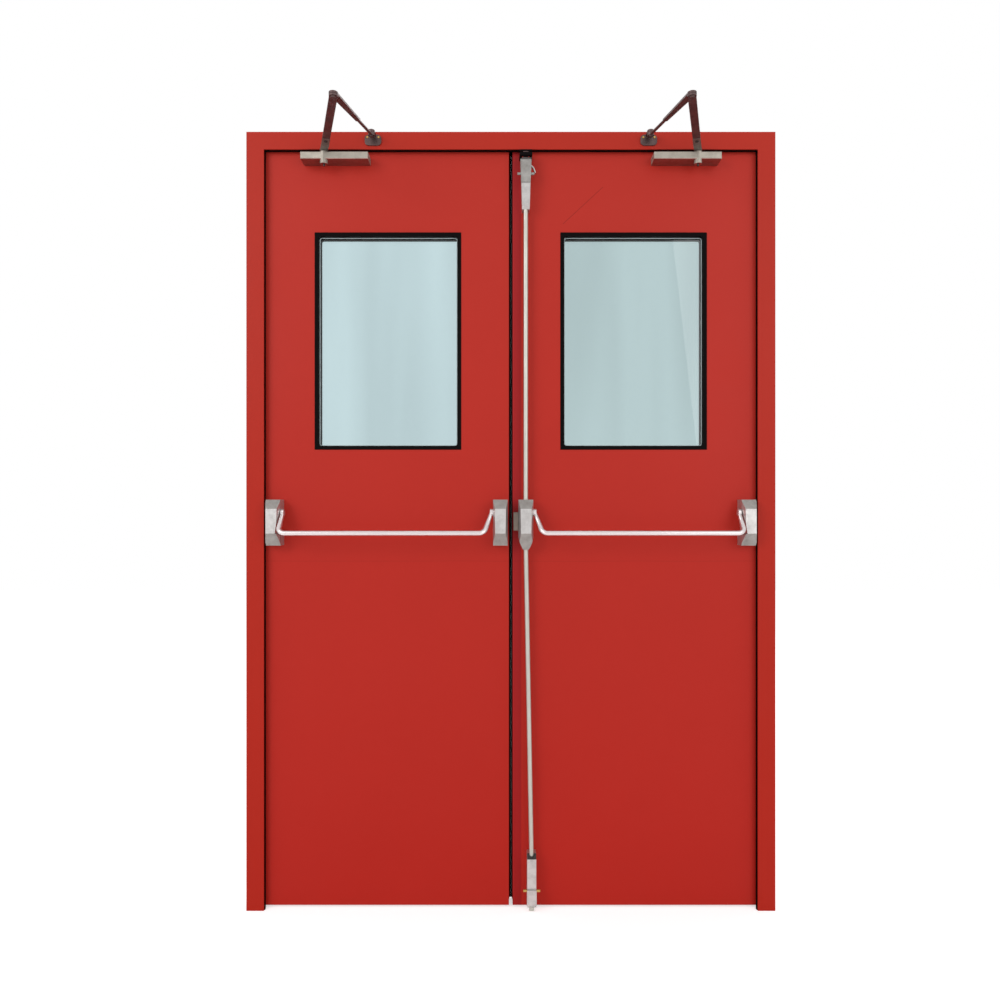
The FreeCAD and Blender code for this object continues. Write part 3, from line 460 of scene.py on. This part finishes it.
def makeGlass(side):
    material, tree, shader = newMaterial(f"fireGlass{side.capitalize()}", Transmission_Weight=1.0,
                                         IOR=glassLook["index"])
    place = objectPlace(tree)
    slow = addNode(tree, "ShaderNodeVectorMath", operation="MULTIPLY")
    tree.links.new(place, slow.inputs[0])
    slow.inputs[1].default_value = glassLook["bandStretch"]
    # painted shade: slow bands that darken the tint
    band = noise(tree, slow.outputs[0], *glassLook["bandNoise"])
    base = glassLook[side]
    deep = tuple(channel * glassLook["bandShade"] for channel in base[:3]) + (1.0,)
    banded = ramp(tree, band, *glassLook["bandSpan"], 0.0, 1.0)
    tree.links.new(mixColor(tree, banded, base, deep), shader.inputs["Base Color"])
    haze = noise(tree, place, *glassLook["hazeNoise"])
    hazy = ramp(tree, haze, *glassLook["hazeSpan"], glassLook["roughness"],
                glassLook["roughness"] * glassLook["hazeRise"])
    tree.links.new(hazy, shader.inputs["Roughness"])
    return material


fireGlass = {side: makeGlass(side) for side in sides}
print("materials made", len(bpy.data.materials))


# mesh helpers
softening = {
    "smoothAngle": 35,
    "sharpFrom": 25,
    "softSegments": 3,
    "roundFrom": 30,
    "roundSegments": 2,
    "weld": 1e-5,
    "flatAngle": 1,
}


def dress(piece, material, body):
    piece.data.materials.clear()
    piece.data.materials.append(material)
    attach(piece, body)
    return piece


def dressNode(node, material):
    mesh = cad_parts[node].data
    mesh.materials.clear()
    mesh.materials.append(material)


def newPiece(name, solid, smoothAngle=softening["smoothAngle"]):
    mesh = bpy.data.meshes.new(name)
    bmesh.ops.recalc_face_normals(solid, faces=solid.faces)
    solid.to_mesh(mesh)
    solid.free()
    mesh.polygons.foreach_set("use_smooth", [True] * len(mesh.polygons))
    mesh.set_sharp_from_angle(angle=math.radians(smoothAngle))
    piece = bpy.data.objects.new(name, mesh)
    scene.collection.objects.link(piece)
    return piece


def applied(piece):
    # freezes the modifiers into the mesh
    bpy.context.view_layer.update()
    ready = piece.evaluated_get(bpy.context.evaluated_depsgraph_get())
    mesh = bpy.data.meshes.new_from_object(ready)
    piece.modifiers.clear()
    piece.data = mesh
    return piece


def weldedSolid(node):
    # a copy of the node's form with its flat faces whole again
    solid = bmesh.new()
    solid.from_mesh(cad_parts[node].data)
    bmesh.ops.remove_doubles(solid, verts=solid.verts, dist=softening["weld"])
    flat = math.radians(softening["flatAngle"])
    bmesh.ops.dissolve_limit(solid, angle_limit=flat, verts=solid.verts, edges=solid.edges)
    return solid


def dropNormals(piece):
    if "custom_normal" in piece.data.attributes:
        piece.data.attributes.remove(piece.data.attributes["custom_normal"])


def rounded(piece, width, segments=softening["roundSegments"], sharpFrom=softening["roundFrom"]):
    rounding = piece.modifiers.new("rounding", "BEVEL")
    rounding.width = width
    rounding.segments = segments
    rounding.limit_method = "ANGLE"
    rounding.angle_limit = math.radians(sharpFrom)
    rounding.harden_normals = True
    return applied(piece)


def softNode(node, material, body, width):
    # the node's own form with its hard edges rounded off
    words = node.split("_")
    name = words[0] + "".join(word.capitalize() for word in words[1:]) + "Soft"
    piece = newPiece(name, weldedSolid(node), softening["sharpFrom"])
    dropNormals(piece)
    if width:
        rounded(piece, width, softening["softSegments"], softening["sharpFrom"])
    dress(piece, material, body)
    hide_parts(node)
    return piece


def addRound(solid, centre, axis, radius, length, segments=24, topRadius=None):
    # a round bar or cone from its base centre along an axis
    axis = Vector(axis).normalized()
    turn = axis.to_track_quat("Z", "Y").to_matrix().to_4x4()
    middle = Vector(centre) + axis * (length / 2)
    bmesh.ops.create_cone(solid, cap_ends=True, segments=segments, radius1=radius,
                          radius2=radius if topRadius is None else topRadius, depth=length,
                          matrix=Matrix.Translation(middle) @ turn)


def addBlock(solid, low, high):
    low, high = Vector(low), Vector(high)
    size = high - low
    matrix = Matrix.Translation((low + high) / 2) @ Matrix.Diagonal((*size, 1.0))
    bmesh.ops.create_cube(solid, size=1.0, matrix=matrix)


screwHead = {
    "sunk": 0.0004,
    "segments": 20,
    "taper": 0.86,
}


def addScrew(solid, centre, axis, radius, proud):
    # a low round head, a little narrower at its face
    axis = Vector(axis).normalized()
    addRound(solid, Vector(centre) - axis * screwHead["sunk"], axis, radius, proud + screwHead["sunk"],
             screwHead["segments"], radius * screwHead["taper"])


def addRing(solid, outer, inner, outerRadius, innerRadius, nearY, farY, turns=6):
    # a flat frame between two rounded rectangles, each given as left, low, right, top
    def outline(edges, radius):
        left, low, right, top = edges
        corners = ((right - radius, top - radius, 0), (left + radius, top - radius, 90),
                   (left + radius, low + radius, 180), (right - radius, low + radius, 270))
        points = []
        for x, z, start in corners:
            for step in range(turns + 1):
                turn = math.radians(start + 90 * step / turns)
                points.append((x + radius * math.cos(turn), z + radius * math.sin(turn)))
        return points
    rings = []
    for edges, radius, y in ((outer, outerRadius, nearY), (inner, innerRadius, nearY),
                             (inner, innerRadius, farY), (outer, outerRadius, farY)):
        rings.append([solid.verts.new((x, y, z)) for x, z in outline(edges, radius)])
    for first, second in zip(rings, rings[1:] + rings[:1]):
        for n in range(len(first)):
            m = (n + 1) % len(first)
            solid.faces.new((first[n], first[m], second[m], second[n]))


def addRun(solid, outline, low, high):
    # an outline in X and Y run from one height to another
    ends = [[solid.verts.new((x, y, z)) for x, y in outline] for z in (low, high)]
    for end in ends:
        solid.faces.new(end)
    for n in range(len(outline)):
        m = (n + 1) % len(outline)
        solid.faces.new((ends[0][n], ends[0][m], ends[1][m], ends[1][n]))


def addTongue(solid, points, thickness, nearY, farY):
    # a bent strip that follows points in X and Z
    sections = []
    for n, (x, z) in enumerate(points):
        before, after = points[max(n - 1, 0)], points[min(n + 1, len(points) - 1)]
        across = Vector((after[1] - before[1], before[0] - after[0])).normalized() * thickness / 2
        sections.append([solid.verts.new((x + way * across.x, y, z + way * across.y))
                         for way, y in ((1, nearY), (-1, nearY), (-1, farY), (1, farY))])
    for first, second in zip(sections, sections[1:]):
        for n in range(4):
            m = (n + 1) % 4
            solid.faces.new((first[n], first[m], second[m], second[n]))
    solid.faces.new(sections[0])
    solid.faces.new(sections[-1])


def twoTone(piece, material, chosen):
    # a second finish on some faces of the same casting
    piece.data.materials.append(material)
    for polygon in piece.data.polygons:
        if chosen(polygon.center, polygon.normal):
            polygon.material_index = 1


# frame, leaves and glazing keep their solids
for node in ("frame_left_jamb", "frame_right_jamb", "frame_head"):
    dressNode(node, framePaint)
dressNode("door_seal", sealRubber)
for side in sides:
    dressNode(f"{side}_leaf", leafPaint[side])
    dressNode(f"{side}_glass", fireGlass[side])
    dressNode(f"{side}_hinge_frame_halves", hingeSteel)
    dressNode(f"{side}_hinge_leaf_halves", hingeSteel)
dressNode("top_strike", beadBlack)
dressNode("top_bolt", armBronze)
dressNode("bottom_bolt", rodSteel)
print("frame and leaves dressed")

# glazing beads with rounded sight corners, and the pale line where the pane meets them
beads = {
    "width": 0.011,
    "outerRadius": 0.0015,
    "sightRadius": 0.006,
    "edge": 0.0012,
    "lineWidth": 0.0024,
    "lineProud": 0.0004,
}


def inset(edges, distance):
    left, low, right, top = edges
    return (left + distance, low + distance, right - distance, top - distance)


for side in sides:
    for face in ("front", "back"):
        low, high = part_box(f"{side}_glazing_{face}")
        outer = (low.x, low.z, high.x, high.z)
        sight = inset(outer, beads["width"])
        beadSolid = bmesh.new()
        addRing(beadSolid, outer, sight, beads["outerRadius"], beads["sightRadius"], low.y, high.y)
        bead = rounded(newPiece(f"{side}Bead{face.capitalize()}", beadSolid), beads["edge"])
        dress(bead, beadBlack, f"{side}_leaf")
        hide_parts(f"{side}_glazing_{face}")
        paneSide = high.y if face == "front" else low.y
        away = -beads["lineProud"] if face == "front" else beads["lineProud"]
        lineSolid = bmesh.new()
        addRing(lineSolid, sight, inset(sight, beads["lineWidth"]), beads["sightRadius"],
                beads["sightRadius"] - beads["lineWidth"] / 2, paneSide + away, paneSide)
        line = newPiece(f"{side}PaneLine{face.capitalize()}", lineSolid)
        dress(line, paleEdge, f"{side}_leaf")
print("glazing made")

# black lip seals that close the gap between the leaves, one on each meeting edge
meetingSeals = {
    "reach": {"left": 0.0065, "right": 0.00338},
    "base": 0.0016,
    "baseDepth": 0.012,
    "lipSpan": (0.0026, 0.0002),
    "lipFlare": 0.0008,
    "footDrop": 0.003,
    "headSpan": (0.020, 0.034),
    "headClear": 0.0005,
    "headSoft": 0.001,
    "rebate": 0.008,
}
for side in sides:
    low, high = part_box(f"{side}_leaf")
    edge, way = (high.x, 1) if side == "left" else (low.x, -1)
    reach, base = edge + way * meetingSeals["reach"][side], edge + way * meetingSeals["base"]
    lipNear, lipFar = (high.y - depth for depth in meetingSeals["lipSpan"])
    baseNear = high.y - meetingSeals["baseDepth"]
    sealSolid = bmesh.new()
    addRun(sealSolid, [(edge, baseNear), (base, baseNear), (base, lipNear - meetingSeals["lipFlare"]),
                       (reach, lipNear), (reach, lipFar), (base, high.y), (edge, high.y)],
           low.z - meetingSeals["footDrop"], high.z)
    seal = newPiece(f"{side}MeetingSeal", sealSolid)
    dress(seal, sealRubber, f"{side}_leaf")
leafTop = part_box("left_leaf")[1].z
leftStop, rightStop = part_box("left_leaf")[0].x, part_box("right_leaf")[1].x
headSolid = bmesh.new()
addBlock(headSolid, (leftStop, meetingSeals["headSpan"][0], leafTop + meetingSeals["headClear"]),
         (rightStop, meetingSeals["headSpan"][1], leafTop + meetingSeals["rebate"]))
headSeal = rounded(newPiece("headLipSeal", headSolid), meetingSeals["headSoft"])
dress(headSeal, sealRubber, "root")
print("meeting seals made")

# push bar housings and latches: castings with soft edges
castings = {
    "left_hinge_side_housing": ("left_leaf", 0.0022),
    "left_latch_side_housing": ("left_leaf", 0.0022),
    "right_hinge_side_housing": ("right_leaf", 0.0022),
    "rod_housing": ("right_leaf", 0.0022),
    "top_latch_case": ("right_leaf", 0.0012),
    "top_latch_cover": ("right_leaf", 0.0014),
    "bottom_latch_case": ("right_leaf", 0.0012),
    "bottom_latch_cover": ("right_leaf", 0.0014),
    "latch_keeper": ("right_leaf", 0.0008),
}
castingTones = {
    "shadeSlope": 0.25,
    "caseFront": 0.5,
    "coverFront": -0.1,
    "screwsPast": 0.0135,
}
for node, (body, width) in castings.items():
    finish, slotName = latchSilver, "latch_silver"
    if node == "latch_keeper":
        finish, slotName = keeperGrey, "closer_silver"
    casting = softNode(node, finish, body, width)
    if "housing" in node:
        # painted shade: the sloped front faces of the housings take the darker silver
        twoTone(casting, caseGreyAndSlopeShade, lambda middle, way: way.y < 0 and abs(way.z) > castingTones["shadeSlope"])
    elif node == "top_latch_case":
        twoTone(casting, caseGreyAndSlopeShade, lambda middle, way: way.y < castingTones["caseFront"])
    elif node == "bottom_latch_cover":
        # painted shade: the slanted top of the bottom latch cover is dark where the rod goes in
        twoTone(casting, darkSteelAndHollowShade, lambda middle, way: way.y < castingTones["coverFront"]
                and way.z > castingTones["shadeSlope"])
    elif node == "bottom_latch_case":
        low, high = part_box(node)
        middleX = (low.x + high.x) / 2
        twoTone(casting, brassScrew, lambda middle, way: abs(middle.x - middleX) > castingTones["screwsPast"])
print("castings made")

# top latch: a dark hood round the bolt and a bright trip tongue at its right
topTrip = {
    "hoodHalf": 0.0175,
    "hoodWall": 0.0075,
    "hoodRise": 0.009,
    "hoodFront": 0.010,
    "hoodBackGap": 0.001,
    "tongue": ((0.0140, -0.0240), (0.0175, -0.0248), (0.0215, -0.0300), (0.0250, -0.0390), (0.0262, -0.0430)),
    "tongueThickness": 0.0030,
    "tongueSpan": (-0.044, -0.034),
    "soft": 0.0012,
}
low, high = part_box("top_latch_case")
caseMiddle = (low.x + high.x) / 2
hoodSolid = bmesh.new()
hoodLeft, hoodRight = caseMiddle - topTrip["hoodHalf"], caseMiddle + topTrip["hoodHalf"]
hoodBack, frontBack = high.y - topTrip["hoodBackGap"], low.y + topTrip["hoodFront"]
addRun(hoodSolid, [
    (hoodLeft, low.y), (hoodRight, low.y), (hoodRight, hoodBack),
    (hoodRight - topTrip["hoodWall"], hoodBack), (hoodRight - topTrip["hoodWall"], frontBack),
    (hoodLeft + topTrip["hoodWall"], frontBack), (hoodLeft + topTrip["hoodWall"], hoodBack),
    (hoodLeft, hoodBack)], high.z, high.z + topTrip["hoodRise"])
hood = rounded(newPiece("topLatchHood", hoodSolid), topTrip["soft"])
dress(hood, beadBlack, "right_leaf")
tongueSolid = bmesh.new()
addTongue(tongueSolid, [(caseMiddle + x, high.z + z) for x, z in topTrip["tongue"]],
          topTrip["tongueThickness"], *topTrip["tongueSpan"])
tongue = rounded(newPiece("topTripTongue", tongueSolid), topTrip["soft"] / 2)
dress(tongue, latchSilver, "right_leaf")
print("top latch trimmed")

# bars and rods
for side in sides:
    softNode(f"{side}_push_bar", barSteel, f"{side}_push_bar", 0.0)
for rod in ("upper_rod", "lower_rod"):
    softNode(rod, rodSteel, rod, 0.0)

# closers and their arms
closerTrim = {
    "spindleInset": 0.218,
    "spindleDepth": -0.050,
    "elbowAcross": 0.088,
    "elbowOut": -0.269,
    "bodySoft": 0.0012,
    "clampSoft": 0.0008,
    "armSoft": 0.0009,
    "trimSoft": 0.0003,
    "undersideSlope": -0.5,
    "tipRadius": 0.0030,
    "tipLength": 0.0050,
    "tipTaper": 0.7,
    "tipSegments": 16,
    "valveRadius": 0.0030,
    "valveDepths": (-0.040, -0.028),
    "bodyMiddle": 2.074,
    "collarRun": (0.030, 0.076),
    "collarWidth": 0.0206,
    "collarDrop": 0.0010,
    "hexAlong": 0.062,
    "hexRadius": 0.0052,
    "hexDrop": 0.0016,
    "armUnder": 2.0873,
}
spindlePlace = {
    "left": Vector((closerTrim["spindleInset"], closerTrim["spindleDepth"])),
    "right": Vector((doorWidth - closerTrim["spindleInset"], closerTrim["spindleDepth"])),
}
elbowOffset = {
    "left": Vector((closerTrim["elbowAcross"], closerTrim["elbowOut"])),
    "right": Vector((-closerTrim["elbowAcross"], closerTrim["elbowOut"])),
}
for side in sides:
    leaf, arm = f"{side}_leaf", f"{side}_closer_arm"
    body = softNode(f"{side}_closer_body", closerSilver, leaf, closerTrim["bodySoft"])
    # the downward faces of the closer body get painted shade with a painted red reflection of the door
    twoTone(body, shadedSilver, lambda middle, way: way.z < closerTrim["undersideSlope"])
    softNode(f"{side}_arm_clamp", clampGrey, arm, closerTrim["clampSoft"])
    softNode(f"{side}_main_arm", armBronze, arm, closerTrim["armSoft"])
    softNode(f"{side}_forearm", armBronze, f"{side}_closer_forearm", closerTrim["armSoft"])

    # spindle tip under the body and valve screws on its ends
    low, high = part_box(f"{side}_closer_body")
    spindle = spindlePlace[side]
    trimSolid = bmesh.new()
    addRound(trimSolid, (spindle.x, spindle.y, low.z), (0, 0, -1), closerTrim["tipRadius"],
             closerTrim["tipLength"], closerTrim["tipSegments"],
             closerTrim["tipRadius"] * closerTrim["tipTaper"])
    for endX, way in ((low.x, -1), (high.x, 1)):
        for y in closerTrim["valveDepths"]:
            addScrew(trimSolid, (endX, y, closerTrim["bodyMiddle"]), (way, 0, 0),
                     closerTrim["valveRadius"], 0.0)
    trim = newPiece(f"{side}CloserTrim", trimSolid)
    dress(trim, darkSteelAndHollowShade, f"{side}_leaf")

    # clamp collar under the arm and the dark hexagon bolt in it
    along = elbowOffset[side].normalized()
    across = Vector((-along.y, along.x)) * closerTrim["collarWidth"] / 2
    start, stop = (spindle + along * reach for reach in closerTrim["collarRun"])
    under = closerTrim["armUnder"]
    collarSolid = bmesh.new()
    corners = (start - across, start + across, stop + across, stop - across)
    addRun(collarSolid, [tuple(corner) for corner in corners], under - closerTrim["collarDrop"], under)
    collar = rounded(newPiece(f"{side}ArmCollar", collarSolid), closerTrim["trimSoft"])
    dress(collar, clampGrey, f"{side}_closer_arm")
    hexMiddle = spindle + along * closerTrim["hexAlong"]
    hexSolid = bmesh.new()
    addRound(hexSolid, (*hexMiddle, under - closerTrim["collarDrop"]), (0, 0, -1),
             closerTrim["hexRadius"], closerTrim["hexDrop"], 6)
    hexBolt = rounded(newPiece(f"{side}ArmBolt", hexSolid), closerTrim["trimSoft"])
    dress(hexBolt, darkSteelAndHollowShade, f"{side}_closer_arm")
print("bars, rods and closers made")

# shoes: an oval plate under the pivot block, with two brass screws
shoes = {
    "cornerRadius": 0.011,
    "cornerSteps": 7,
    "soft": 0.0010,
    "screwAcross": 0.0155,
    "screwRise": 0.007,
    "screwRadius": 0.0032,
    "screwProud": 0.0012,
    "plate": 0.004,
    "atEdge": 1e-4,
    "acrossPlate": 1e-3,
}


def ovalShoe(side):
    node = f"{side}_closer_shoe"
    low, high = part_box(node)
    solid = weldedSolid(node)

    def atCorner(vert):
        atSide = min(abs(vert.co.x - low.x), abs(vert.co.x - high.x)) < shoes["atEdge"]
        return atSide and min(abs(vert.co.z - low.z), abs(vert.co.z - high.z)) < shoes["atEdge"]

    corners = [edge for edge in solid.edges if all(atCorner(vert) for vert in edge.verts)
               and abs(edge.verts[0].co.y - edge.verts[1].co.y) > shoes["acrossPlate"]]
    bmesh.ops.bevel(solid, geom=corners, offset=shoes["cornerRadius"], segments=shoes["cornerSteps"],
                    affect="EDGES", profile=0.5)
    shoe = newPiece(f"{side}CloserShoeOval", solid)
    dropNormals(shoe)
    rounded(shoe, shoes["soft"])
    dress(shoe, armBronze, "root")
    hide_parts(node)
    middle = (low + high) / 2
    screwSolid = bmesh.new()
    for way in (-1, 1):
        addScrew(screwSolid, (middle.x + way * shoes["screwAcross"], high.y - shoes["plate"],
                              middle.z + shoes["screwRise"]), (0, -1, 0),
                 shoes["screwRadius"], shoes["screwProud"])
    dress(newPiece(f"{side}ShoeScrews", screwSolid), brassScrew, "root")


for side in sides:
    ovalShoe(side)
print("shoes made")

# plain white floor
floorLook = {
    "size": 14.0,
    "shade": 0.86,
    "roughness": 0.9,
    "lift": 0.55,
}
floorSolid = bmesh.new()
bmesh.ops.create_grid(floorSolid, x_segments=1, y_segments=1, size=floorLook["size"] / 2)
floor = newPiece("floor", floorSolid)
floorWhite, floorTree, floorShader = newMaterial("floorWhite", Roughness=floorLook["roughness"])
floorShader.inputs["Base Color"].default_value = grey(floorLook["shade"])
floorLift = mixColor(floorTree, seenDirectly(floorTree), grey(0.0), grey(floorLook["lift"]))
floorTree.links.new(floorLift, floorShader.inputs["Emission Color"])
floorShader.inputs["Emission Strength"].default_value = 1.0
floor.data.materials.append(floorWhite)
floor.location = (doorWidth / 2, 0, 0)

# soft lamps in front and one behind, with a white surround
lamps = {
    "keyLamp": {"place": (-2.5, -3.3, 2.9), "aim": (0.73, 0, 1.0), "size": 2.2, "power": 62.0},
    "fillLamp": {"place": (3.2, -3.2, 2.2), "aim": (0.73, 0, 1.0), "size": 2.4, "power": 30.0},
    "backLamp": {"place": (1.6, 3.6, 3.0), "aim": (0.73, 0, 1.1), "size": 2.6, "power": 40.0},
}
for name, lamp in lamps.items():
    light = bpy.data.lights.new(name, "AREA")
    light.size = lamp["size"]
    light.energy = lamp["power"]
    holder = bpy.data.objects.new(name, light)
    scene.collection.objects.link(holder)
    holder.visible_camera = False
    holder.visible_transmission = False
    holder.location = lamp["place"]
    holder.rotation_euler = (Vector(lamp["aim"]) - Vector(lamp["place"])).to_track_quat("-Z", "Y").to_euler()

surround = {"shade": 0.62}
world = bpy.data.worlds.new("surround")
scene.world = world
world.use_nodes = True
worldTree = world.node_tree
background = worldTree.nodes["Background"]
surroundShade = mixColor(worldTree, seenDirectly(worldTree), grey(surround["shade"]), grey(1.0))
worldTree.links.new(surroundShade, background.inputs["Color"])
print("light set")
